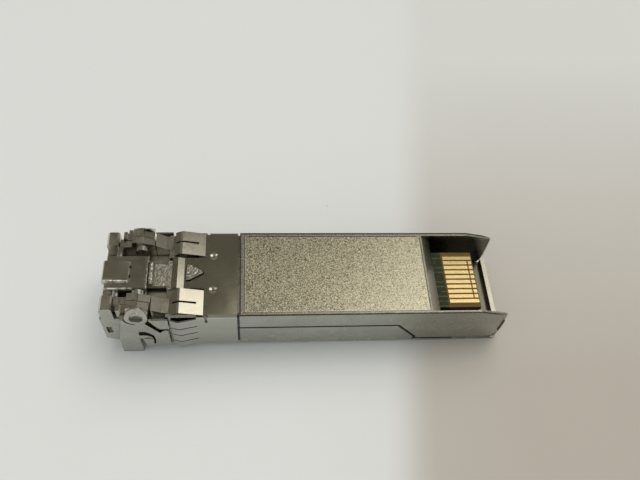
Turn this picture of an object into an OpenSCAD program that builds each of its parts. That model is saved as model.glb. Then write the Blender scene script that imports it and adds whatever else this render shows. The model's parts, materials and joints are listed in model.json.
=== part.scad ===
// Pluggable optical transceiver with two fibre ports, a swinging bail and a rocker latch.
// +X points to the card edge, +Z out of the belly (the side with the latch boss).
// x = 0 is the latch shoulder, y = 0 the centre plane, z = 0 the label side of the shell.

/* [Shell] */
// Latch shoulder to the rear tips of the side skirts
shell_length = 45; // [44.8:0.1:46]
// Outside width of the shell behind the collar
shell_width = 13.4; // [13.3:0.05:13.6]
// Outside height of the shell behind the collar
shell_height = 8.5; // [8.45:0.05:8.55]
// Thickness of the floor and the long side walls
wall = 0.8; // [0.7:0.05:0.85]
// Height of the seam between the two shell halves
seam_z = 4.87; // [4.6:0.05:5]
// Gap left along the seam
seam_gap = 0.14; // [0.08:0.01:0.18]
// Depth of the sunk panel in the belly
panel_depth = 0.1; // [0.05:0.01:0.2]
// Where the belly plate ends and the card edge opening starts
opening_x = 34; // [33.8:0.1:34.4]

/* [Nose and fibre ports] */
// Front of the nose, ahead of the latch shoulder
nose_front = 11.1; // [10.9:0.05:11.4]
// Outside width of the nose
nose_width = 12.1; // [12:0.02:12.14]
// Distance between the two port axes
port_pitch = 6.25; // [6.2:0.05:6.25]
// Height of the port axes
port_z = 4.1; // [4.05:0.01:4.12]
// Width and height of each square port
port_size = 4.75; // [4.6:0.05:4.75]
// Radius of the hole that guides the plug's ferrule
ferrule_bore_r = 0.63; // [0.628:0.001:0.65]

/* [Bail] */
// Pivot of the bail, ahead of the latch shoulder
bail_x = 6.25; // [6.23:0.01:6.28]
// Height of the bail pivot
bail_z = 8.9; // [8.88:0.01:8.93]
// Radius of the bail's two pivot pins
bail_pin_r = 0.9; // [0.88:0.01:0.93]
// Radial running clearance of the pins in the nose
bail_clearance = 0.04; // [0.02:0.01:0.08]
// Thickness of the bail's side arms
arm_thickness = 1; // [0.9:0.05:1.1]

/* [Latch] */
// Pivot of the rocker, ahead of the latch shoulder
rocker_x = 9.4; // [9.3:0.05:9.5]
// Height of the rocker pivot
rocker_z = 7.8; // [7.75:0.01:7.85]
// Radius of the rocker's pivot pin
rocker_pin_r = 0.5; // [0.45:0.01:0.52]
// Height of the latch boss above the belly
boss_height = 0.45; // [0.35:0.01:0.5]
// Width of the latch boss at its shoulder
boss_width = 2.4; // [2.2:0.05:2.6]

/* [Collar] */
// Sheet thickness of the spring-finger collar
sheet = 0.2; // [0.15:0.01:0.21]
// How far the finger ridges stand out of the belly
finger_rise = 0.75; // [0.5:0.05:0.8]

/* [Circuit board] */
// Board thickness
board_thickness = 1; // [0.9:0.05:1.05]
// Depth of the board's contact face below the belly
board_depth = 2.25; // [2.2:0.01:2.3]
// Width of the board at the card edge
card_width = 9.2; // [9:0.05:9.3]
// Latch shoulder to the end of the board
card_end = 41.95; // [41.8:0.05:42.1]
// Spacing of the contacts
pad_pitch = 0.8; // [0.78:0.01:0.82]

/* [Hidden] */
$fn = 48;

metal = [0.60, 0.59, 0.55];
dark_metal = [0.36, 0.35, 0.32];
gold = [0.90, 0.76, 0.38];

half_w = shell_width / 2;
nose_half = nose_width / 2;
port_y = port_pitch / 2;
tail_x = shell_length + 0.7;       // end of the label-side floor
neck_end = 7.28;                   // where the collar seat stops
neck_half = 6.85 - sheet - 0.02;   // half width of the shell under the collar
belly_seat = shell_height + 0.12 - sheet - 0.02;
label_seat = sheet + 0.02;
nose_back = 2.6;                   // back of the nose block, ahead of the shoulder
roof_low = 6.5;                    // roof between the ports and the latch pocket
roof_high = 6.9;
cheek_inner = 3.94;                // inner faces of the two cheeks beside the latch
sweep_r = bail_z + 0.4;            // the bail's crossbar passes outside this radius
inside_half = half_w - wall;
skirt_inner = half_w - 0.5;        // inner face of the skirts beside the card edge
inside_floor = wall + 0.15;
board_top = shell_height - board_depth;
board_low = board_top - board_thickness;

// ---- helpers ----

module block(x0, x1, y0, y1, z0, z1) {
    translate([x0, y0, z0]) cube([x1 - x0, y1 - y0, z1 - z0]);
}

// An outline drawn in x and z, running from y0 to y1.
module y_prism(points, y0, y1) {
    translate([0, y1, 0]) rotate([90, 0, 0]) linear_extrude(y1 - y0) polygon(points);
}

// An outline drawn in x and y, running from z0 to z1.
module z_prism(points, z0, z1) {
    translate([0, 0, z0]) linear_extrude(z1 - z0) polygon(points);
}

module y_rod(x, z, y0, y1, r) {
    translate([x, y1, z]) rotate([90, 0, 0]) cylinder(h = y1 - y0, r = r);
}

// A turned shape on a port axis: points are [radius, x].
module turned(y, points) {
    translate([0, y, port_z]) rotate([0, 90, 0]) rotate_extrude() polygon(points);
}

module both_sides() {
    children();
    mirror([0, 1, 0]) children();
}

module rounded_rectangle(w, h, r) {
    square([w - 2 * r, h], center = true);
    square([w, h - 2 * r], center = true);
    for (sx = [-1, 1], sy = [-1, 1])
        translate([sx * (w / 2 - r), sy * (h / 2 - r)]) circle(r);
}

// The rounded core of the shell under the collar, between two heights.
module neck_core(x0, z0, z1) {
    height = belly_seat - label_seat;
    intersection() {
        translate([x0, 0, label_seat + height / 2]) rotate([90, 0, 90])
            linear_extrude(neck_end - x0) rounded_rectangle(2 * neck_half, height, 0.6);
        block(x0, neck_end, -7, 7, z0, z1);
    }
}

// A strip of sheet along the line points, thickness t on its inner side.
module bent_strip(points, t) {
    polygon(concat(points, [for (i = [len(points) - 1:-1:0]) points[i] - [0, t]]));
}

// ---- shell ----

// The seam between the halves, front to rear, raised by lift.
function seam(lift) = [
    [29.7 + 0.4 * lift, seam_z + lift], [32.7 + lift, 1.05 + lift], [32.5 + lift, 0.58 + lift],
    [34.6, 0.48 + lift]
];

// Side view of the cheeks: the rim block in front and the wall that holds the pivot.
rim_outline = [
    [-nose_front, roof_low], [-nose_front, 9.4], [-nose_front + 0.3, 9.7],
    [-9.7, 9.7], [-9.45, 9.45], [-9.45, roof_low]
];
cheek_outline = [
    [-9.5, roof_low], [-9.5, 8.8], [-9.28, 8.8], [-9.28, 9.5], [-8.85, 9.5],
    [-8.85, 9.15], [-7.75, 9.15], [-7.5, 10.3], [-6.1, 10.3], [-6.02, 10.15],
    [-4.5, 9.53], [-4.5, roof_low]
];
pivot_wall = 5;                    // outer face of the wall that holds the pivot

module fibre_port(y) {
    block(-nose_front - 1, -3.4, y - port_size / 2, y + port_size / 2,
        port_z - port_size / 2, port_z + port_size / 2);
    // slot for the plug's own latch, on the label side
    block(-nose_front - 1, -5.2, y - 1.2, y + 1.2, 0.95, port_z);
    translate([-3.5, y, port_z]) rotate([0, 90, 0]) cylinder(h = 1, r = 1.52);
}

module nose() {
    difference() {
        union() {
            block(-nose_front - 0.3, -nose_back, -nose_half, nose_half, 0.3, roof_high);
            both_sides() y_prism(rim_outline, cheek_inner, nose_half);
            both_sides() y_prism(cheek_outline, cheek_inner, pivot_wall);
            both_sides() wing();
        }
        for (side = [-1, 1]) fibre_port(side * port_y);
        // front lower corner, rounded to clear the swinging bail
        difference() {
            block(-nose_front - 1, -bail_x, -7, 7, 0, 3);
            y_rod(-bail_x, bail_z, -8, 8, sweep_r);
        }
        // windows through the outer walls of the ports
        both_sides() block(-10.95, -10.2, 5, 7, 2.7, 4.5);
        both_sides() y_rod(-bail_x, bail_z, 3, 7, bail_pin_r + bail_clearance);
        both_sides() y_rod(-rocker_x, rocker_z, 3, 5.2, rocker_pin_r);
    }
}

// Wing beside the nose, behind the bail's arm, with an upstanding outer lip.
module wing() {
    y_prism([[-4.06, 6.5], [-3.5, 5.6], [-2.6, 5.6], [-2.6, 7.3], [-4.35, 7.3]],
        nose_half + 0.03, 7);
    y_prism([[-4.06, 6.5], [-3.5, 5.6], [-2.6, 5.6], [-2.6, 6.85], [-4.2, 6.85]],
        nose_half - 0.1, nose_half + 0.1);
    y_prism([[-4.75, 8.2], [-4.06, 6.5], [-3.5, 5.6], [-2.25, 5.6], [-2.25, 8.2]], 6.8, 7.05);
}

module base_housing() {
    color(metal) {
        nose();
        difference() {
            union() {
                neck_core(-nose_back, 0, seam_z);
                y_prism(concat([[neck_end, 0], [neck_end, seam_z]], seam(0),
                    [[tail_x, 0.48], [tail_x, 0]]), -half_w, half_w);
                // floor between the skirts and its upturned rear edge
                block(33.6, tail_x - 0.1, -skirt_inner + 0.08, skirt_inner - 0.08, 0.2,
                    inside_floor);
                block(tail_x - 0.65, tail_x, -skirt_inner + 0.08, skirt_inner - 0.08, 0.3, 1.9);
            }
            block(-nose_back, tail_x - 0.65, -inside_half, inside_half, inside_floor, 6);
            // shallow seat for the label
            block(9, 43.4, -5.9, 5.9, -1, 0.15);
            // clipped rear corners
            both_sides() z_prism([[tail_x - 0.8, half_w + 0.1], [tail_x + 0.1, half_w + 0.1],
                [tail_x + 0.1, half_w - 0.8]], -1, 3);
        }
        // ledges under the board
        for (x = [9.4, 25.4]) both_sides()
            block(x, x + 3, 4.9, inside_half - 0.06, inside_floor - 0.1, board_low - 0.02);
    }
}

module belly_cover() {
    color(metal) {
        difference() {
            union() {
                // neck under the collar
                neck_core(-nose_back + 0.05, seam_z + seam_gap, 9);
                // long body and side skirts
                y_prism(concat([[neck_end, shell_height], [neck_end, seam_z + seam_gap]],
                    seam(seam_gap), [[shell_length - 0.9, 0.48 + seam_gap],
                    [shell_length - 0.3, 0.9], [shell_length + 0.05, 1.8],
                    [shell_length + 0.18, 3.2], [shell_length + 0.15, 5],
                    [shell_length, shell_height - 1.02], [shell_length - 0.3, shell_height - 0.88],
                    [shell_length - 4, shell_height]]), -half_w, half_w);
            }
            // room for the board and the optics
            block(-nose_back, neck_end, -inside_half, inside_half, 0, roof_low);
            block(neck_end - 0.1, opening_x - 0.6, -inside_half, inside_half,
                0, shell_height - wall);
            block(opening_x - 0.7, shell_length + 1, -skirt_inner, skirt_inner, 0, 7.25);
            // card edge opening with its sloping front wall
            y_prism([[opening_x, shell_height + 0.01], [opening_x + 1.45, 7.25],
                [opening_x + 1.45, 7], [shell_length + 1, 7], [shell_length + 1, 9],
                [opening_x, 9]], -skirt_inner, skirt_inner);
            // sunk belly panel
            translate([(7.95 + opening_x - 0.3) / 2, 0, shell_height - panel_depth])
                linear_extrude(1)
                    rounded_rectangle(opening_x - 0.3 - 7.95, shell_width - 1.2, 0.7);
            // pocket for the rocker
            block(-nose_back - 1, 3.3, -2.6, 2.6, 6.8, 9);
            // lead-in on the outside of the skirts
            both_sides() z_prism([[shell_length - 1.6, half_w + 0.01],
                [shell_length + 0.1, half_w + 0.01], [shell_length + 0.1, half_w - 0.22]],
                -1, 9);
        }
        // ramps that carry the cheek line down to the collar
        both_sides() y_prism([[-4.4, roof_high + 0.05], [-4.4, 9.48], [-3.05, 8.6],
            [-2.15, 8.55], [-2.15, roof_high + 0.05]], cheek_inner, nose_half);
        // posts that hold the board down
        for (x = [9.8, 25.8]) both_sides()
            block(x, x + 2.2, 4.9, 5.5, board_top + 0.02, shell_height - wall + 0.1);
    }
}

// ---- spring-finger collar ----

// One finger bent out to its ridge, drawn as [x, height above the sheet].
function finger_line(root, rise, ridge) = [
    [root, 0], [ridge, rise], [ridge - 0.3, rise - 0.08], [ridge - 1.1, rise * 0.35]
];

module finger(root, rise, v0, v1) {
    translate([0, v1, 0]) rotate([90, 0, 0]) linear_extrude(v1 - v0)
        bent_strip(finger_line(root, rise, -0.72), sheet);
}

module emi_collar() {
    top = shell_height + 0.12;
    slits = [[2.75, 4.6], [4.9, 6.5]];
    side_fingers = [[0.5, 2.02], [2.23, 3.97], [4.18, 5.87], [6.08, 8.05]];
    boss_window = [
        [-0.15, -boss_width / 2 - 0.15], [-0.15, boss_width / 2 + 0.15],
        [0.4, boss_width / 2 + 0.15], [2.4, 0.2], [2.4, -0.2], [0.4, -boss_width / 2 - 0.15]
    ];
    color(dark_metal) {
        difference() {
            translate([1.5, 0, top / 2]) rotate([90, 0, 90]) linear_extrude(5.45)
                difference() {
                    rounded_rectangle(13.7, top, 0.5);
                    rounded_rectangle(13.7 - 2 * sheet, top - 2 * sheet, 0.3);
                }
            // the belly and label fingers start further back than the side ones
            block(1, 2.4, -6.7, -4.65, 7, 10);
            block(1, 2.4, 4.65, 6.7, 7, 10);
            block(1, 2.4, -4.66, -2.42, 7, 10);
            block(1, 2.4, 2.42, 4.66, 7, 10);
            block(1, 2.4, -6.7, -2.42, -1, 1);
            block(1, 2.4, 2.42, 6.7, -1, 1);
            z_prism(boss_window, 7, 10);
            // small relief holes at the belly corners
            both_sides() translate([2.8, 6.6, 7]) cylinder(h = 3, r = 0.3);
            // dimples that grip the belly
            both_sides() translate([3.66, 2.68, top - 0.13]) cylinder(h = 0.14, r1 = 0.2, r2 = 0.58);
        }
        // belly and label fingers
        both_sides() for (s = slits) {
            translate([0, 0, top]) finger(2.42, finger_rise, s[0], s[1]);
            mirror([0, 0, 1]) finger(2.42, 0.42, s[0], s[1]);
        }
        // web that joins each pair of belly fingers near the root
        both_sides() translate([0, slits[1][0] + 0.02, top]) rotate([90, 0, 0])
            linear_extrude(slits[1][0] - slits[0][1] + 0.04)
                bent_strip([[2.42, 0], [1.5, finger_rise * 0.293]], sheet);
        // side fingers
        both_sides() for (s = side_fingers)
            translate([0, 6.85, s[0]]) linear_extrude(s[1] - s[0])
                bent_strip(finger_line(1.52, 0.5, -0.85), sheet);
        // middle tongues, the belly one with the latch window
        difference() {
            y_prism([[1.52, top], [-0.35, top], [-1.25, top + 0.28], [-2, top + 0.28],
                [-2, top + 0.08], [-1.32, top + 0.08], [-0.42, top - sheet],
                [1.52, top - sheet]], -2.42, 2.42);
            z_prism(boss_window, 7, 10);
        }
        block(-2, 1.52, -2.42, 2.42, 0, sheet);
    }
}

module blank_label() {
    color([0.86, 0.86, 0.83]) translate([26.2, 0, 0.03]) linear_extrude(0.12)
        rounded_rectangle(34, 11.6, 0.5);
}

// ---- bail ----

// Outer part of each side arm, with the notch behind which the wing stands.
arm_outline = [
    [-8.43, 8.6], [-8.43, 7.3], [-8.85, 5.2], [-9.24, 2.6], [-9.35, -1.3], [-6, -1.3],
    [-5.62, 0.45], [-2.4, 0.5], [-2.4, 5.3], [-2.7, 5.4], [-3.2, 5.15], [-3.54, 4.6],
    [-3.92, 5.2], [-4.7, 6.5], [-5.28, 7.5], [-4.85, 8.6], [-4.72, 9.5], [-5.3, 10.3],
    [-7.5, 10.3], [-7.6, 8.6]
];
// Head of each arm, which reaches into the nose beside the pivot wall.
head_outline = [
    [-8.9, 7.8], [-8.9, 9.6], [-8.4, 9.6], [-8.4, 9.2], [-7.75, 9.2], [-7.5, 10.3],
    [-6.1, 10.3], [-6.02, 10.15], [-4.65, 9.58], [-4.8, 8.6], [-5.3, 7.8]
];
// Two slots that free a springy pad in each arm.
hook_slot = [
    [-6.5, 3.95], [-6.4, 5.05], [-5.55, 5.05], [-4.95, 4.55], [-4.5, 3.85], [-4.36, 2.7],
    [-4.5, 1.2], [-4.75, 1.2], [-4.63, 2.7], [-4.83, 3.45], [-5.44, 3.85]
];
straight_slot = [
    [-6.45, 2.95], [-6.17, 2.95], [-5.72, 0.45], [-5.5, -1.4], [-6.45, -1.4], [-6.52, 1.9]
];

// What lies outside the sloping face of the hub, moved out by out.
module outside_slope(out) {
    rotate([90, 0, 90]) translate([0, 0, -12]) linear_extrude(12)
        polygon([[6.2 + out, 10.3], [7.15 + out, 8.6], [9, 8.6], [9, 11], [6.2 + out, 11]]);
}

function arc_points(r, a0, a1) = [
    for (i = [0:10]) let (a = a0 + (a1 - a0) * i / 10) [r * cos(a) - bail_x, r * sin(a) + bail_z]
];

module bail_lever() {
    inner = nose_half + 0.1;
    outer = inner + arm_thickness;
    color(metal) {
        difference() {
            union() {
                both_sides() difference() {
                    union() {
                        y_prism(arm_outline, inner, outer);
                        y_prism(head_outline, pivot_wall + 0.08, inner + 0.01);
                    }
                    outside_slope(0);
                }
                // hub discs, standing a little out of the slope
                both_sides() difference() {
                    y_rod(-bail_x, bail_z, inner, outer, 1.5);
                    outside_slope(0.16);
                }
                // round pads
                both_sides() y_rod(-5.35, 2.2, inner + 0.2, outer + 0.08, 0.85);
                // crossbar on the label side
                block(-9.3, -6.5, -nose_half - 0.5, nose_half + 0.5, -1.3, -0.55);
            }
            both_sides() y_prism(hook_slot, 5, 8);
            both_sides() y_prism(straight_slot, 6.1, 8);
            // groove under each disc
            both_sides() y_prism(concat(arc_points(1.48, 185, 258), arc_points(1.72, 258, 185)),
                outer - 0.35, 8);
            both_sides() y_rod(-bail_x, bail_z, 5, 8, bail_pin_r);
            // relief that lets the arms' rear edges lap the shell
            both_sides() block(-2.68, -2, 5, half_w - 0.02, 0, 6);
        }
    }
}

module bail_pins() {
    tip = 6.75;
    color(metal) both_sides() difference() {
        y_rod(-bail_x, bail_z, 3.1, tip, bail_pin_r);
        // flat of the cam that presses the rocker
        block(-8, -5, 2, cheek_inner - 0.06, bail_z - 2, bail_z - bail_pin_r + 0.13);
        // dimple in the outer end
        y_rod(-bail_x, bail_z, tip - 0.15, tip + 1, 0.4);
    }
}

// ---- latch ----

module latch_rocker() {
    ear_top = bail_z - bail_pin_r - 0.03;
    color(metal) {
        difference() {
            union() {
                // front plate with its raised rib
                y_prism([[-11, 8.3], [-11, 8.85], [-10.85, 9], [-5.3, 9], [-5.3, 8.3]],
                    -2.55, 2.55);
                y_prism([[-11.28, 8.4], [-11.28, 9.25], [-11.08, 9.45], [-7.75, 9.25], [-7.55, 8.9],
                    [-10.3, 8.4]], -1.58, 1.58);
                // knuckle around the pivot pin
                block(-rocker_x - 0.85, -rocker_x + 0.85, -1.6, 1.6, rocker_z - 0.7, 8.4);
                // cam followers below the bail's pins
                block(-7, -5.4, -3.65, 3.65, 7.2, ear_top);
                block(-7, -5.4, -2.55, 2.55, 7.3, 8.4);
                // rolled bend and arm
                y_rod(-4.9, 8.45, -1.75, 1.75, 0.48);
                y_prism([[-5.5, 7.55], [-5.5, 8.6], [-4.9, 8.6], [-4.2, 8.15], [2.65, 8.15],
                    [2.65, 7.55]], -1.75, 1.75);
                block(-2.7, 2.65, -2.3, 2.3, 7.55, 8.15);
                latch_boss();
            }
            y_rod(-rocker_x, rocker_z, -3, 3, rocker_pin_r + 0.04);
            // two marks at the back of the rib
            for (y = [-0.75, 0.75]) block(-7.75, -7.5, y - 0.25, y + 0.25, 8.8, 9.6);
        }
    }
}

// Triangular boss with its shoulder to the front.
module latch_boss() {
    translate([0, 0, 8]) linear_extrude(shell_height + boss_height - 8)
        polygon([[0, -boss_width / 2], [0, boss_width / 2], [0.35, boss_width / 2],
            [2.1, 0.18], [2.2, 0], [2.1, -0.18], [0.35, -boss_width / 2]]);
}

module latch_pin() {
    color(metal) y_rod(-rocker_x, rocker_z, -5.1, 5.1, rocker_pin_r);
}

// Bowed leaf between the pocket floor and the rocker's arm.
module latch_spring() {
    color([0.75, 0.73, 0.68]) translate([0, 1, 0]) rotate([90, 0, 0]) linear_extrude(2)
        bent_strip([[-2.2, 6.96], [-1.5, 7.16], [-0.7, 7.42], [0, 7.52], [0.7, 7.42],
            [1.5, 7.16], [2.2, 6.96]], 0.12);
}

// ---- optical sub-assemblies ----

// Flanged barrel that carries the split sleeve and is clamped behind the nose.
module osa_barrel(y) {
    turned(y, [
        [0.85, -7.6], [1.475, -7.6], [1.475, -2.55], [2.3, -2.55], [2.3, -1.75], [1.6, -1.75],
        [1.6, -0.95], [2.1, -0.95], [2.1, 0.6], [0.45, 0.6], [0.45, -3.02], [0.93, -3.02],
        [0.93, -7.02], [0.85, -7.02]
    ]);
}

module split_sleeve(y) {
    difference() {
        turned(y, [[ferrule_bore_r, -7], [0.9, -7], [0.9, -4.02], [ferrule_bore_r, -4.02]]);
        block(-8, -2, y - 0.1, y + 0.1, port_z + 0.3, port_z + 1.2);
    }
}

module fibre_stub(y) {
    turned(y, [[0, -4], [0.9, -4], [0.9, -3.04], [0.43, -3.04], [0.43, -1.5], [0, -1.5]]);
}

// Sealed can with four leads that end on the flexible circuit.
module osa_can(y, r, back) {
    turned(y, [[0, 0.65], [r, 0.65], [r, back - 0.6], [r + 0.3, back - 0.6],
        [r + 0.3, back], [0, back]]);
    for (dy = [-0.8, 0.8], dz = [-0.8, 0.8])
        translate([back, y + dy, port_z + dz]) rotate([0, 90, 0])
            cylinder(h = 3.96 - back, r = 0.2);
}

// Flexible circuit that stands behind the can and lands on one face of the board.
module osa_flex(y, land) {
    y_prism([[3.98, 2.6], [3.98, land + 0.12], [9.2, land + 0.12], [9.2, land],
        [4.1, land], [4.1, 2.6]], y - 1.5, y + 1.5);
}

module tosa_barrel() { color([0.72, 0.71, 0.68]) osa_barrel(-port_y); }
module tosa_sleeve() { color([0.93, 0.92, 0.88]) split_sleeve(-port_y); }
module tosa_stub() { color([0.96, 0.95, 0.92]) fibre_stub(-port_y); }
module tosa_can() { color([0.80, 0.70, 0.42]) osa_can(-port_y, 1.9, 3.3); }
module tosa_flex() { color([0.72, 0.48, 0.18]) osa_flex(-port_y, board_top + 0.02); }
module rosa_barrel() { color([0.72, 0.71, 0.68]) osa_barrel(port_y); }
module rosa_sleeve() { color([0.93, 0.92, 0.88]) split_sleeve(port_y); }
module rosa_stub() { color([0.96, 0.95, 0.92]) fibre_stub(port_y); }
module rosa_can() { color([0.80, 0.70, 0.42]) osa_can(port_y, 1.75, 2.9); }
module rosa_flex() { color([0.72, 0.48, 0.18]) osa_flex(port_y, board_low - 0.14); }

// Plate with two open notches that presses both flanges against the nose.
module osa_clamp() {
    color([0.66, 0.66, 0.64]) difference() {
        block(-1.7, -1, -5.7, 5.7, 1.2, 6.4);
        both_sides() {
            translate([-3, port_y, port_z]) rotate([0, 90, 0]) cylinder(h = 4, r = 1.66);
            block(-3, 1, port_y - 1.66, port_y + 1.66, port_z, 7);
        }
    }
}

// ---- circuit board ----

module circuit_board() {
    card_half = card_width / 2;
    color([0.10, 0.30, 0.16]) difference() {
        union() {
            block(7.6, 33.4, -5.5, 5.5, board_low, board_top);
            block(33, card_end, -card_half, card_half, board_low, board_top);
        }
        // bevels on both faces of the card edge
        y_prism([[card_end - 0.18, board_top + 0.01], [card_end + 0.01, board_top + 0.01],
            [card_end + 0.01, board_top - 0.2]], -6, 6);
        y_prism([[card_end - 0.18, board_low - 0.01], [card_end + 0.01, board_low - 0.01],
            [card_end + 0.01, board_low + 0.2]], -6, 6);
        // notches at the sides that key the board in the shell
        both_sides() translate([20, 5.9, board_low - 1]) cylinder(h = 3, r = 0.9);
    }
}

// Ten flat contacts; all but the outer two are cut near the board's end.
module contacts(z) {
    front = card_end - 4.55;
    tip = card_end - 0.2;
    for (i = [0:9]) {
        y = (i - 4.5) * pad_pitch;
        if (i == 0 || i == 9) {
            block(front, tip, y - 0.3, y + 0.3, z, z + 0.04);
        } else {
            block(front, tip - 0.74, y - 0.3, y + 0.3, z, z + 0.04);
            block(tip - 0.54, tip, y - 0.3, y + 0.3, z, z + 0.04);
        }
    }
}

module belly_contacts() { color(gold) contacts(board_top); }
module label_contacts() { color(gold) contacts(board_low - 0.04); }

// A flat square chip with a small round mark, on the belly face of the board.
module chip(x, y, w, d, h) {
    difference() {
        block(x - w / 2, x + w / 2, y - d / 2, y + d / 2, board_top + 0.01, board_top + h);
        translate([x - w / 2 + 0.5, y - d / 2 + 0.5, board_top + h - 0.05])
            cylinder(h = 1, r = 0.2);
    }
}

module laser_driver_chip() { color([0.10, 0.10, 0.11]) chip(14, -2.6, 3.6, 3.6, 0.8); }
module limiting_amp_chip() { color([0.10, 0.10, 0.11]) chip(14, 2.6, 3, 3, 0.8); }
module microcontroller() { color([0.11, 0.11, 0.12]) chip(22, 0.6, 5, 5, 0.9); }
module memory_chip() { color([0.12, 0.12, 0.13]) chip(29, -2.6, 3, 2, 0.7); }

// Capacitors in short rows on the belly face.
module chip_capacitors() {
    color([0.62, 0.50, 0.36]) {
        for (x = [10.4, 17.6, 26.2], i = [0:3]) {
            y = (i - 1.5) * 2.2;
            block(x - 0.5, x + 0.5, y - 0.25, y + 0.25, board_top + 0.01, board_top + 0.5);
        }
    }
}

module power_inductors() {
    color([0.22, 0.21, 0.20]) for (y = [-0.4, 3.2])
        block(28.6, 31.1, y, y + 2, board_top + 0.01, board_top + 1.1);
}

// Soft pad that carries the driver's heat into the cover.
module thermal_pad() {
    color([0.55, 0.60, 0.66])
        block(12.6, 15.4, -4, -1.2, board_top + 0.82, shell_height - wall - 0.01);
}

base_housing();
belly_cover();
emi_collar();
blank_label();
bail_lever();
bail_pins();
latch_rocker();
latch_pin();
latch_spring();
tosa_barrel();
tosa_sleeve();
tosa_stub();
tosa_can();
tosa_flex();
rosa_barrel();
rosa_sleeve();
rosa_stub();
rosa_can();
rosa_flex();
osa_clamp();
circuit_board();
belly_contacts();
label_contacts();
laser_driver_chip();
limiting_amp_chip();
microcontroller();
memory_chip();
chip_capacitors();
power_inductors();
thermal_pad();
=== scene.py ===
"""Looks for the pluggable optical transceiver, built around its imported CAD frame.

Units are metres. +X runs to the card edge, +Z out of the belly, z = 0 is the label side.
"""
import json
import math

import bmesh
import bpy
from mathutils import Matrix, Vector


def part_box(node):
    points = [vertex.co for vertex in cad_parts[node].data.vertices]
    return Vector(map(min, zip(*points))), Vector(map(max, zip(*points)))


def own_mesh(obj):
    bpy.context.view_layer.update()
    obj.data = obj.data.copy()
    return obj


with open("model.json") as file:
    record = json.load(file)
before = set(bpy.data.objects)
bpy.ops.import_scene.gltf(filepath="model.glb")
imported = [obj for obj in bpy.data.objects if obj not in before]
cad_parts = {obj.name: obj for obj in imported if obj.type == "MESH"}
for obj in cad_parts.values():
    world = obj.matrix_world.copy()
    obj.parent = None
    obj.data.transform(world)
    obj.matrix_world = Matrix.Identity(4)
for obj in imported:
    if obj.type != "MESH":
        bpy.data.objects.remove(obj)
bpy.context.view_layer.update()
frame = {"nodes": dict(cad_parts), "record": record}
NODES = frame["nodes"]
MM = 0.001


# ---- node graph helpers ----

class Graph:
    """A material or world node tree that is built by calling its methods."""

    def __init__(self, tree):
        self.tree = tree
        tree.nodes.clear()

    def add(self, kind, **values):
        """One node. Keywords set inputs by name, or by _NUMBER, and properties by lower-case name."""
        n = self.tree.nodes.new(kind)
        for key, value in values.items():
            if key.startswith("_") and key[1:].isdigit():
                self.put(n.inputs[int(key[1:])], value)
            elif key in n.inputs:
                self.put(n.inputs[key], value)
            else:
                setattr(n, key, value)
        return n

    def put(self, socket, value):
        """Links a socket or a node to an input, or sets the input to a constant."""
        if isinstance(value, bpy.types.NodeSocket):
            self.tree.links.new(value, socket)
        elif isinstance(value, bpy.types.Node):
            self.tree.links.new(value.outputs[0], socket)
        elif socket.type == "RGBA" and len(value) == 3:
            socket.default_value = (*value, 1)
        else:
            socket.default_value = value

    def math(self, op, a, b=0.0, c=0.0, clamp=False):
        return self.add("ShaderNodeMath", operation=op, use_clamp=clamp, _0=a, _1=b, _2=c).outputs[0]

    def vmath(self, op, a, b=(0, 0, 0)):
        n = self.add("ShaderNodeVectorMath", operation=op, _0=a, _1=b)
        return n.outputs["Value"] if op in ("DOT_PRODUCT", "LENGTH") else n.outputs[0]

    def product(self, first, *others):
        for other in others:
            first = self.math("MULTIPLY", first, other)
        return first

    def split(self, vector):
        """The x, y and z outputs of a vector."""
        return self.add("ShaderNodeSeparateXYZ", Vector=vector).outputs

    def normal(self):
        return self.add("ShaderNodeNewGeometry").outputs["Normal"]

    def noise(self, where, scale, detail=3.0, rough=0.55):
        return self.add("ShaderNodeTexNoise", Vector=where, Scale=scale, Detail=detail,
                        Roughness=rough).outputs["Fac"]

    def span(self, value, lo, hi, to_lo=0.0, to_hi=1.0, smooth=False):
        n = self.add("ShaderNodeMapRange", _0=value, _1=lo, _2=hi, _3=to_lo, _4=to_hi)
        if smooth:
            n.interpolation_type = "SMOOTHSTEP"
        return n.outputs[0]

    def mix(self, fac, a, b):
        n = self.add("ShaderNodeMix", data_type="RGBA")
        self.put(n.inputs[0], fac)
        self.put(n.inputs[6], a)
        self.put(n.inputs[7], b)
        return n.outputs[2]

    def mixf(self, fac, a, b):
        n = self.add("ShaderNodeMix", data_type="FLOAT")
        self.put(n.inputs[0], fac)
        self.put(n.inputs[2], a)
        self.put(n.inputs[3], b)
        return n.outputs[0]


def material(name):
    m = bpy.data.materials.new(name)
    m.use_nodes = True
    g = Graph(m.node_tree)
    g.where = g.add("ShaderNodeTexCoord").outputs["Object"]
    return m, g


def finish_material(g, color, metallic, rough, height=None, depth=0.0, **extra):
    """The surface of a material, with an optional bump height field in metres."""
    s = g.add("ShaderNodeBsdfPrincipled", **{"Base Color": color, "Metallic": metallic,
                                             "Roughness": rough, **extra})
    if height is not None:
        g.put(s.inputs["Normal"], g.add("ShaderNodeBump", Strength=1.0, Distance=depth,
                                        Height=height).outputs[0])
    g.add("ShaderNodeOutputMaterial", Surface=s.outputs[0])


def edge_mask(g, radius):
    """1 on sharp edges, fading over the radius."""
    soft = g.add("ShaderNodeBevel", samples=4, Radius=radius).outputs[0]
    return g.span(g.vmath("DOT_PRODUCT", soft, g.normal()), 0.97, 0.75)


def area(x0, y0, x1, y1):
    """Lower and upper x and y limits, in metres, of a rectangle given in millimetres."""
    return (x0 * MM, y0 * MM), (x1 * MM, y1 * MM)


def shrunk(box, by):
    """The area with each side moved inwards, or outwards if by is below 0."""
    lo, hi = box
    return [v + by for v in lo], [v - by for v in hi]


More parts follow.
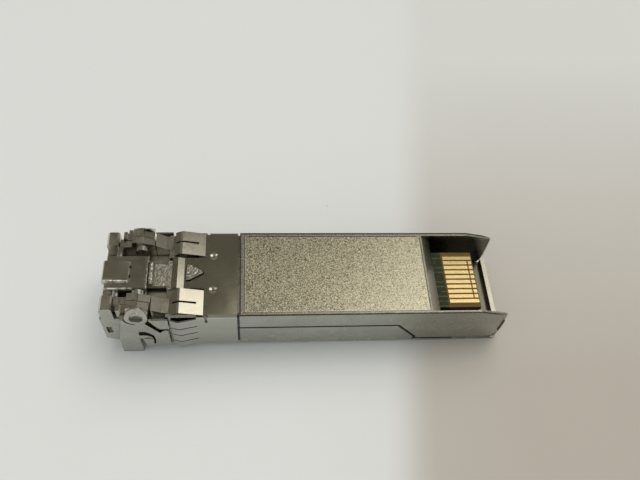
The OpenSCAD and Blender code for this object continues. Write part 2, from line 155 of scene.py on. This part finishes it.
def box_mask(g, box, soft):
    """1 inside an area, seen from above."""
    xyz = g.split(g.where)
    inside = 1.0
    for axis in (0, 1):
        for limit, sign in ((box[0][axis], 1), (box[1][axis], -1)):
            depth = g.math("MULTIPLY", g.math("SUBTRACT", xyz[axis], limit), sign)
            inside = g.product(g.span(depth, -soft, soft), inside)
    return inside


def flank_shade_mask(g):
    """How much the upright long sides take a painted reflection of the shaded table, darker and
    bluer: more towards the rear.
    """
    xyz = g.split(g.where)
    upright = g.span(g.math("ABSOLUTE", g.split(g.normal())[1]), 0.85, 0.97)
    outside = g.span(g.math("ABSOLUTE", xyz[1]), 4.9 * MM, 5.1 * MM)
    rearwards = g.span(xyz[0], 26 * MM, 42 * MM, 0.32, 0.43)
    above_seam = g.span(xyz[2], 4.7 * MM, 5.1 * MM, 0.8, 1.0)
    return g.product(upright, outside, rearwards, above_seam)


def line_mask(g, points, half_width):
    """1 along a line through points [x, z], given in millimetres, seen from the side."""
    xyz = g.split(g.where)
    here = g.add("ShaderNodeCombineXYZ", X=xyz[0], Z=xyz[2]).outputs[0]
    nearest = None
    for (x0, z0), (x1, z1) in zip(points, points[1:]):
        start = Vector((x0, 0, z0)) * MM
        run = Vector((x1 - x0, 0, z1 - z0)) * MM
        offset = g.vmath("SUBTRACT", here, start)
        along = g.math("DIVIDE", g.vmath("DOT_PRODUCT", offset, run), run.length_squared, clamp=True)
        foot = g.add("ShaderNodeVectorMath", operation="SCALE", _0=run)
        g.put(foot.inputs["Scale"], along)
        away = g.vmath("LENGTH", g.vmath("SUBTRACT", offset, foot.outputs[0]))
        nearest = away if nearest is None else g.math("MINIMUM", nearest, away)
    return g.span(nearest, half_width * 1.4, half_width * 0.6)


# ---- materials ----

NICKEL = (0.66, 0.63, 0.55)
# pale worn edges; where they are raised on the rocker they are also a painted highlight
WORN_AND_GLINT_NICKEL = (0.86, 0.83, 0.75)
# painted reflection of the shaded table on the upright sides
FLANK_PAINTED_SHADE = (0.045, 0.10, 0.11)
# painted shade, for corners and hollows
PAINTED_SHADE = (0.03, 0.03, 0.025)
PAD_PITCH = 0.8 * MM

INSIDE = area(33.95, -6.23, 45.04, 6.23)          # the space beside the card edge
COLLAR_GAP = area(6.97, -8, 7.29, 8)              # along the collar's rear edge
HUB_SLOPES = area(-6.08, -6.3, -4.3, 6.3)         # slopes behind the bail's hubs
RIM = area(7.3, -6.7, 45.3, 6.7)                  # top of the belly behind the collar
RIM_EDGE = area(7.44, -6.46, 1000, 6.46)          # where the rim's dark outline begins
PANEL = area(7.97, -6.08, 33.68, 6.08)            # the sunk panel
# painted highlights: pale matt bands in the next two areas
RIB_GLINT = area(-11.15, -1.62, -7.8, -1.40)     # near edge of the rocker's rib
PLATE_GLINT = area(-10.9, -2.6, -7.2, -2.43)     # near edge of the rocker's plate
ROCKER_BEND = -5.45 * MM                          # where the rocker's plate turns rough
# The seam between the shell halves, front to rear, as [x, z] in millimetres.
SEAM_LINE = [(7.3, 4.94), (29.7, 4.94), (32.8, 1.1), (32.62, 0.65), (34.6, 0.55), (38.5, 0.55)]


def blasted_panel(g, coat):
    """Sand-cast panel inside a rim. It has a painted highlight just inside its edge and grows paler
    towards the rear corner as painted lighting, with painted shade round its edge, along the rim's
    outer edges and behind the collar.
    """
    place = g.split(g.where)
    up = g.span(g.split(g.normal())[2], 0.9, 0.98)
    top = g.product(up, g.span(place[2], 7.2 * MM, 7.4 * MM), box_mask(g, RIM, 0.01 * MM))
    sunk = g.product(top, box_mask(g, PANEL, 0.02 * MM))
    rim = g.math("SUBTRACT", top, sunk)
    cells = g.add("ShaderNodeTexVoronoi", Vector=g.where, Scale=10200.0).outputs["Color"]
    speck = g.add("ShaderNodeSeparateColor", Color=cells).outputs[0]
    grain = g.noise(g.where, 7600, 3, 0.7)
    blast = g.math("MULTIPLY_ADD", speck, 0.55, g.math("MULTIPLY", grain, 0.45))

    # painted lighting: the panel grows paler towards the rear corner, where the lamp's reflection
    # falls
    along = g.math("MULTIPLY_ADD", place[1], -0.5, place[0])
    blast_and_painted_light = g.math("ADD", blast, g.span(along, 17 * MM, 36 * MM, 0.0, 0.15, smooth=True))
    sand = g.mix(g.span(blast_and_painted_light, 0.29, 0.70), (0.21, 0.192, 0.125), (1.0, 0.945, 0.75))
    # painted highlight: a pale band just inside the panel's edge
    lip_highlight = g.math("SUBTRACT", 1.0, box_mask(g, shrunk(PANEL, 0.16 * MM), 0.04 * MM))
    sand = g.mix(g.product(lip_highlight, 0.55), sand, (1.0, 0.96, 0.84))
    color = g.mix(sunk, coat["color"], sand)

    mottle = g.span(grain, 0.35, 0.6, 0.6, 0.0)
    color = g.mix(g.product(rim, mottle), color, (0.20, 0.19, 0.15))
    # painted shade: a dark band just outside the panel's edge
    groove_shade = g.product(box_mask(g, shrunk(PANEL, -0.09 * MM), 0.02 * MM), rim)
    color = g.mix(g.product(groove_shade, 0.8), color, (0.05, 0.05, 0.04))
    # painted shade: dark bands along the rim's outer edges and behind the collar
    outline_shade = g.math("SUBTRACT", 1.0, box_mask(g, RIM_EDGE, 0.03 * MM))
    color = g.mix(g.product(outline_shade, top, 0.92), color, (0.05, 0.048, 0.038))

    coat["color"] = color
    coat["rough"] = g.mixf(top, coat["rough"], g.span(blast, 0.3, 0.7, 0.26, 0.38))
    coat["height"] = g.mixf(top, coat["height"], g.product(blast, 3.0))


def rocker_glints_and_dents(g, coat):
    """Painted highlights as pale matt bands along the rocker's near edges, and a hammered rear."""
    place = g.split(g.where)
    # painted highlights: pale and not metallic, so that the table suns light them
    glints = g.math("MAXIMUM", box_mask(g, RIB_GLINT, 0.04 * MM),
                     box_mask(g, PLATE_GLINT, 0.04 * MM))
    broken = g.span(g.noise(g.where, 1500, 2), 0.36, 0.5, 0.25, 0.9)
    glints = g.product(glints, g.span(place[2], 8.6 * MM, 8.7 * MM), broken)
    rear = g.span(place[0], ROCKER_BEND - 0.2 * MM, ROCKER_BEND)
    dents = g.product(g.noise(g.where, 1500, 3, 0.6), rear, 26.0)
    coat["color"] = g.mix(glints, coat["color"], (0.86, 0.85, 0.78))
    coat["metallic"] = g.math("SUBTRACT", 1.0, glints)
    coat["height"] = g.math("ADD", coat["height"], dents)


def plated_casting(name, rough, wear_and_glint=0.45, detail=None):
    """Nickel over a die casting: faint orange peel, cloudy polish, worn edges that double as painted
    highlights, and painted shade in corners, seams and hollows.
    """
    m, g = material(name)
    cloud = g.noise(g.where, 380, 4)
    fine = g.noise(g.where, 5200, 2)
    height_z = g.split(g.where)[2]
    color = g.mix(g.span(cloud, 0.35, 0.68), [c * 0.86 for c in NICKEL], NICKEL)
    # pale edges, part wear and part painted highlight, strongest on the rocker
    color = g.mix(g.product(edge_mask(g, 0.10 * MM), wear_and_glint), color, WORN_AND_GLINT_NICKEL)
    # painted shade: darker in corners and recesses, found by ambient occlusion
    corner = g.add("ShaderNodeAmbientOcclusion", samples=6, Distance=0.6 * MM).outputs["AO"]
    color = g.mix(g.span(corner, 0.85, 0.35, 0.0, 0.75), color, PAINTED_SHADE)
    # painted reflection: the upright sides darker and bluer, as if mirroring the shaded table
    color = g.mix(flank_shade_mask(g), color, FLANK_PAINTED_SHADE)

    # painted shade in the side seam and along the collar's rear edge, weaker on top
    on_top = g.span(height_z, 8.2 * MM, 8.3 * MM, 1.0, 0.3)
    gap = g.product(box_mask(g, COLLAR_GAP, 0.02 * MM), on_top)
    seam_shade = g.math("MAXIMUM", line_mask(g, SEAM_LINE, 0.21 * MM), gap)
    color = g.mix(g.product(seam_shade, 0.93), color, (0.02, 0.02, 0.018))

    # painted shade on the inside, seen through the card edge opening, darker further down
    inside_shade_depth = g.span(height_z, 8.45 * MM, 7.1 * MM, 0.35, 1.0)
    inside = g.product(box_mask(g, INSIDE, 0.03 * MM), inside_shade_depth)
    color = g.mix(g.product(inside, 0.70), color, (0.04, 0.036, 0.022))

    # painted shade on the slopes behind the bail's hubs
    slope_shade = g.product(box_mask(g, HUB_SLOPES, 0.04 * MM), g.span(height_z, 9.42 * MM, 9.5 * MM))
    coat = {
        "color": g.mix(g.product(slope_shade, 0.62), color, PAINTED_SHADE),
        "metallic": 1.0,
        "rough": g.span(cloud, 0.3, 0.7, rough * 0.8, rough * 1.25),
        "height": g.math("MULTIPLY_ADD", fine, 0.35, g.product(cloud, 0.8)),
    }
    if detail:
        detail(g, coat)
    finish_material(g, coat["color"], coat["metallic"], coat["rough"], coat["height"], 0.008 * MM)
    return m


def plated_sheet():
    """Thin polished sheet: long faint rolling lines and a slow waviness in the reflections."""
    m, g = material("plated_sheet")
    stretch = g.add("ShaderNodeMapping", Vector=g.where, Scale=(1.0, 9.0, 9.0)).outputs[0]
    lines = g.noise(stretch, 900, 4, 0.7)
    wave = g.noise(g.where, 160, 2)
    worn = edge_mask(g, 0.07 * MM)
    color = g.mix(g.span(wave, 0.3, 0.7), (0.61, 0.58, 0.50), (0.69, 0.66, 0.58))
    color = g.mix(g.product(worn, 0.5), color, WORN_AND_GLINT_NICKEL)
    # painted reflection: the upright sides darker and bluer, as if mirroring the shaded table
    color = g.mix(flank_shade_mask(g), color, FLANK_PAINTED_SHADE)
    height = g.math("MULTIPLY_ADD", wave, 3.0, g.product(lines, 0.25))
    finish_material(g, color, 1.0, g.span(lines, 0.3, 0.7, 0.10, 0.20), height, 0.006 * MM)
    return m


def ground_steel(name, tint, rough):
    """Turned or ground steel with fine rings round the X axis."""
    m, g = material(name)
    stretch = g.add("ShaderNodeMapping", Vector=g.where, Scale=(14.0, 1.0, 1.0)).outputs[0]
    rings = g.noise(stretch, 1500, 3, 0.6)
    color = g.mix(rings, [c * 0.8 for c in tint], tint)
    finish_material(g, color, 1.0, g.span(rings, 0.3, 0.7, rough * 0.7, rough * 1.3),
                    rings, 0.004 * MM)
    return m


def solder_mask():
    """Green mask over the board, bare amber laminate round the contacts and on the edges."""
    m, g = material("solder_mask")
    xyz = g.split(g.where)
    weave = g.add("ShaderNodeTexWave", Vector=g.where, Scale=1900.0, Distortion=1.5,
                  bands_direction="DIAGONAL").outputs["Fac"]
    cloud = g.noise(g.where, 900, 3)
    pads_lo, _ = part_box("belly_contacts")
    bare = g.span(xyz[0], pads_lo.x - 0.25 * MM, pads_lo.x - 0.15 * MM)
    green = g.mix(cloud, (0.012, 0.019, 0.006), (0.030, 0.036, 0.012))
    # a trace leaves each contact towards the chips
    across = g.math("PINGPONG", g.math("DIVIDE", xyz[1], PAD_PITCH), 0.5)
    trace = g.product(g.span(across, 0.36, 0.40), g.span(cloud, 0.42, 0.50))
    green = g.mix(trace, green, (0.070, 0.085, 0.040))
    amber = g.mix(g.product(weave, 0.5), (0.09, 0.058, 0.014), (0.24, 0.16, 0.05))
    color = g.mix(bare, green, amber)
    finish_material(g, color, 0.0, g.mixf(bare, 0.4, 0.5), g.math("ADD", weave, cloud), 0.01 * MM,
                    **{"Specular IOR Level": 0.3})
    return m


def contact_gold():
    """Hard gold with faint wipe lines along the contact."""
    m, g = material("contact_gold")
    stretch = g.add("ShaderNodeMapping", Vector=g.where, Scale=(1.0, 12.0, 1.0)).outputs[0]
    lines = g.noise(stretch, 900, 3, 0.6)
    color = g.mix(lines, (0.84, 0.61, 0.27), (0.98, 0.78, 0.42))
    # dark rims beside the gaps, and painted shade on the pair at the far end of the row, where the
    # far wall shades it
    y = g.split(g.where)[1]
    across = g.math("PINGPONG", g.math("DIVIDE", y, PAD_PITCH), 0.5)
    rim = g.product(g.span(across, 0.19, 0.15), 0.85)
    dark_rims_and_far_shade = g.math("MAXIMUM", rim, g.span(y, 2.2 * MM, 3.4 * MM, 0.0, 0.32))
    color = g.mix(dark_rims_and_far_shade, color, (0.12, 0.10, 0.03))
    finish_material(g, color, 1.0, g.span(lines, 0.3, 0.7, 0.2, 0.36), lines, 0.006 * MM)
    return m


def moulded(name, tint, rough=0.5, grain=2600.0, depth=0.006):
    """Moulded or fired body with a fine grain and a slow change of shade."""
    m, g = material(name)
    fine = g.noise(g.where, grain, 2)
    cloud = g.noise(g.where, 420, 3)
    color = g.mix(g.span(cloud, 0.3, 0.7), [c * 0.78 for c in tint], tint)
    finish_material(g, color, 0.0, g.span(fine, 0.3, 0.7, rough * 0.85, rough * 1.15),
                    fine, depth * MM)
    return m


def paint(node, m):
    NODES[node].data.materials.clear()
    NODES[node].data.materials.append(m)


finishes = {
    "plated_casting": plated_casting("plated_casting", 0.26),
    "plated_sheet": plated_sheet(),
    "label_film": moulded("label_film", (0.80, 0.80, 0.77), 0.35),
    "steel": ground_steel("steel", (0.62, 0.61, 0.58), 0.28),
    "barrel_steel": ground_steel("barrel_steel", (0.68, 0.67, 0.64), 0.24),
    "ceramic_white": moulded("ceramic_white", (0.86, 0.85, 0.80), 0.22),
    "can_gold": ground_steel("can_gold", (0.88, 0.72, 0.36), 0.22),
    "flex_film": moulded("flex_film", (0.55, 0.30, 0.07), 0.35),
    "solder_mask": solder_mask(),
    "contact_gold": contact_gold(),
    "chip_black": moulded("chip_black", (0.035, 0.035, 0.038), 0.5),
    "capacitor_tan": moulded("capacitor_tan", (0.42, 0.30, 0.18), 0.5),
    "ferrite_grey": moulded("ferrite_grey", (0.10, 0.10, 0.095), 0.6),
    "soft_pad": moulded("soft_pad", (0.40, 0.45, 0.52), 0.7),
}
for entry in frame["record"]["subparts"]:
    paint(entry["node"], finishes[entry["material_slot"]])
paint("belly_cover", plated_casting("plated_casting_panel", 0.26, detail=blasted_panel))
paint("latch_rocker", plated_casting("plated_casting_rocker", 0.2, wear_and_glint=0.85, detail=rocker_glints_and_dents))


# ---- smooth shading and small edge rounds on the CAD solids ----

SHARP_ANGLE = math.radians(11)
# The most a broken edge may take, in millimetres. The overlap clamp cuts the rounds far below this,
# to about 0.03 on the rocker and 0.004 to 0.009 on the others. On the collar it left slivers and no
# round, so the collar isn't listed.
EDGE_ROUNDS = {"base_housing": 0.07, "belly_cover": 0.08, "bail_lever": 0.09, "latch_rocker": 0.15,
               "bail_pins": 0.05}


def shading_group():
    """Welds a CAD mesh and smooths it, leaving edges over SHARP_ANGLE sharp."""
    tree = bpy.data.node_groups.new("weld_and_smooth", "GeometryNodeTree")
    tree.interface.new_socket("Geometry", in_out="INPUT", socket_type="NodeSocketGeometry")
    tree.interface.new_socket("Geometry", in_out="OUTPUT", socket_type="NodeSocketGeometry")
    add, link = tree.nodes.new, tree.links.new
    start, end = add("NodeGroupInput"), add("NodeGroupOutput")
    weld = add("GeometryNodeMergeByDistance")
    weld.inputs["Distance"].default_value = 0.001 * MM
    faces, edges = add("GeometryNodeSetShadeSmooth"), add("GeometryNodeSetShadeSmooth")
    edges.domain = "EDGE"
    edges.inputs["Shade Smooth"].default_value = False
    angle, compare = add("GeometryNodeInputMeshEdgeAngle"), add("FunctionNodeCompare")
    compare.operation = "GREATER_THAN"
    compare.inputs[1].default_value = SHARP_ANGLE
    link(start.outputs[0], weld.inputs[0])
    link(weld.outputs[0], faces.inputs[0])
    link(faces.outputs[0], edges.inputs[0])
    link(angle.outputs[0], compare.inputs[0])
    link(compare.outputs[0], edges.inputs["Selection"])
    link(edges.outputs[0], end.inputs[0])
    return tree


smooth_tree = shading_group()
for name, obj in NODES.items():
    obj.modifiers.new("smooth", "NODES").node_group = smooth_tree
    if name in EDGE_ROUNDS:
        bevel = obj.modifiers.new("edge_round", "BEVEL")
        bevel.width = EDGE_ROUNDS[name] * MM
        bevel.segments = 2
        bevel.limit_method = "ANGLE"
        bevel.angle_limit = math.radians(40)
        bevel.harden_normals = True
        bevel.use_clamp_overlap = True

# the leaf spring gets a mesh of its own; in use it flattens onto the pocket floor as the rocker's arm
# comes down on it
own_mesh(NODES["latch_spring"])


# ---- floor, light and camera ----

def grid_sheet(name, x0, x1, y0, y1, z, steps):
    """A flat sheet of quads."""
    mesh = bpy.data.meshes.new(name)
    bm = bmesh.new()
    rows = [[bm.verts.new((x0 + (x1 - x0) * i / steps, y0 + (y1 - y0) * j / steps, z))
             for i in range(steps + 1)] for j in range(steps + 1)]
    for j in range(steps):
        for i in range(steps):
            bm.faces.new((rows[j][i], rows[j][i + 1], rows[j + 1][i + 1], rows[j + 1][i]))
    bm.to_mesh(mesh)
    bm.free()
    obj = bpy.data.objects.new(name, mesh)
    bpy.context.scene.collection.objects.link(obj)
    return obj


# The bail's crossbar and the rear edge of the floor both touch the table, so it tilts a little.
bail_lo, bail_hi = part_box("bail_lever")
shell_lo, shell_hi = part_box("base_housing")
TABLE_SLOPE = (shell_lo.z - bail_lo.z) / (shell_hi.x - bail_lo.x)

floor = grid_sheet("floor", -1.2, 1.2, -1.2, 1.2, 0.0, 8)
floor.rotation_euler.y = -math.atan(TABLE_SLOPE)
floor.location = (bail_lo.x, 0, bail_lo.z - 0.02 * MM)


def table_paper():
    """Pale paper with faint fibres, duller and warmer beyond the card edge."""
    m, g = material("table_paper")
    xyz = g.split(g.where)
    fibres = g.noise(g.where, 1400, 4)
    cloud = g.noise(g.where, 22, 2)
    across = g.math("MULTIPLY_ADD", xyz[1], -0.134, xyz[0])
    beyond = g.math("ADD", g.span(across, 39 * MM, 47 * MM, 0.0, 0.8, smooth=True),
                    g.span(across, 25 * MM, 60 * MM, 0.0, 0.2))
    near = g.span(xyz[1], 55 * MM, -12 * MM, 0.18, 1.0)
    pale = g.mix(cloud, (0.755, 0.76, 0.755), (0.785, 0.79, 0.785))
    dull = g.mix(cloud, (0.475, 0.425, 0.375), (0.50, 0.45, 0.40))
    color = g.mix(g.product(beyond, near), pale, dull)
    cells = g.add("ShaderNodeTexVoronoi", Vector=g.where, Scale=62.0).outputs
    # a few dust specks, in the cells that the random colour picks
    pick = g.span(g.add("ShaderNodeSeparateColor", Color=cells["Color"]).outputs[0], 0.60, 0.62)
    dust = g.product(g.span(cells["Distance"], 0.021, 0.014), pick)
    color = g.mix(g.product(dust, 0.6), color, (0.22, 0.17, 0.13))
    finish_material(g, color, 0.0, 0.6, fibres, 0.01 * MM)
    return m


floor.data.materials.append(table_paper())


def sky_direction(azimuth, elevation):
    """Unit vector: azimuth 0 is +Y and 90 is +X."""
    a, e = math.radians(azimuth), math.radians(elevation)
    return Vector((math.sin(a) * math.cos(e), math.cos(a) * math.cos(e), math.sin(e)))


AMBIENT = (0.235, 0.228, 0.20)                        # the sky where nothing is added
# What the metal mirrors besides: (azimuth, elevation, inner and outer angle, change, tint).
SKY_PATCHES = [
    (5, 62, 8, 28, -0.135, (1.0, 1.0, 1.0)),          # dark ceiling above the belly
    (-60, 26, 8, 26, -0.11, (1.0, 1.0, 1.0)),
    (-150, 45, 10, 50, 0.06, (0.9, 0.98, 1.0)),
    (-72, 60, 5, 8, 1.7, (1.0, 1.0, 0.96)),           # small lamp, the second glint in the dimples
]
LAMP = (70, 70, 22.8, 25, (1.42, 1.37, 1.22))         # round lamp whose edge the fingers catch
LAMP_SHADE = (-150, 70, 34, 38)                       # what hides the lamp towards the front
HORIZON_GLOW = (0.50, 0.49, 0.45)                     # pale wall low behind the object
# Soft suns for the table and the board only: azimuth, elevation, width, strength, tint.
TABLE_SUNS = [
    (25, 62, 55, 1.25, (1.0, 0.975, 0.94)),
    (-140, 45, 100, 0.95, (0.86, 0.96, 1.0)),
]
for k, (azimuth, elevation, width, strength, tint) in enumerate(TABLE_SUNS):
    sun = bpy.data.objects.new(f"table_sun_{k}", bpy.data.lights.new(f"table_sun_{k}", "SUN"))
    sun.data.energy, sun.data.angle, sun.data.color = strength, math.radians(width), tint
    sun.rotation_euler = sky_direction(azimuth, elevation).to_track_quat("Z", "Y").to_euler()
    sun.visible_glossy = False
    bpy.context.scene.collection.objects.link(sun)

world = bpy.data.worlds.new("studio")
bpy.context.scene.world = world
world.use_nodes = True
g = Graph(world.node_tree)
ray = g.add("ShaderNodeTexCoord").outputs["Generated"]
total = g.add("ShaderNodeCombineXYZ", X=AMBIENT[0], Y=AMBIENT[1], Z=AMBIENT[2]).outputs[0]


def sky_disc(azimuth, elevation, inner, outer, strength=1.0):
    """Strength inside a round patch of the sky, fading to 0 between two angles."""
    facing = g.vmath("DOT_PRODUCT", ray, sky_direction(azimuth, elevation))
    return g.span(facing, math.cos(math.radians(outer)), math.cos(math.radians(inner)),
                  0.0, strength, smooth=True)


def add_light(total, tint, amount):
    glow = g.add("ShaderNodeVectorMath", operation="SCALE", _0=tint)
    g.put(glow.inputs["Scale"], amount)
    return g.vmath("ADD", total, glow.outputs[0])


for azimuth, elevation, inner, outer, change, tint in SKY_PATCHES:
    total = add_light(total, tint, sky_disc(azimuth, elevation, inner, outer, change))
lamp = g.product(sky_disc(*LAMP[:4]), g.math("SUBTRACT", 1.0, sky_disc(*LAMP_SHADE)))
total = add_light(total, LAMP[4], lamp)
ray_xyz = g.split(ray)
low = g.product(g.span(ray_xyz[2], 0.24, 0.02, smooth=True),
                g.span(ray_xyz[1], -0.2, 0.3, smooth=True))
total = add_light(total, HORIZON_GLOW, low)
background = g.add("ShaderNodeBackground", Color=total, Strength=1.0)
g.add("ShaderNodeOutputWorld", Surface=background.outputs[0])

CAMERA_AZIMUTH, CAMERA_ELEVATION, CAMERA_ROLL = -10.847, 56.77, 9.002
CAMERA_PLACE = Vector((8.997, -45.969, 88.472)) * MM
CAMERA_LENS = 36.81
a, e, r = (math.radians(v) for v in (CAMERA_AZIMUTH, CAMERA_ELEVATION, CAMERA_ROLL))
back = Vector((math.sin(a) * math.cos(e), -math.cos(a) * math.cos(e), math.sin(e)))
right = (-back).cross(Vector((0, 0, 1))).normalized()
up = right.cross(-back)
right, up = right * math.cos(r) + up * math.sin(r), up * math.cos(r) - right * math.sin(r)
camera = bpy.data.objects.new("camera", bpy.data.cameras.new("camera"))
bpy.context.scene.collection.objects.link(camera)
camera.matrix_world = Matrix((
    (right.x, up.x, back.x, CAMERA_PLACE.x),
    (right.y, up.y, back.y, CAMERA_PLACE.y),
    (right.z, up.z, back.z, CAMERA_PLACE.z),
    (0, 0, 0, 1)))
camera.data.sensor_width = 36
camera.data.lens = CAMERA_LENS
camera.data.clip_start, camera.data.clip_end = 0.005, 10
bpy.context.scene.camera = camera
bpy.context.scene.view_settings.view_transform = "Standard"
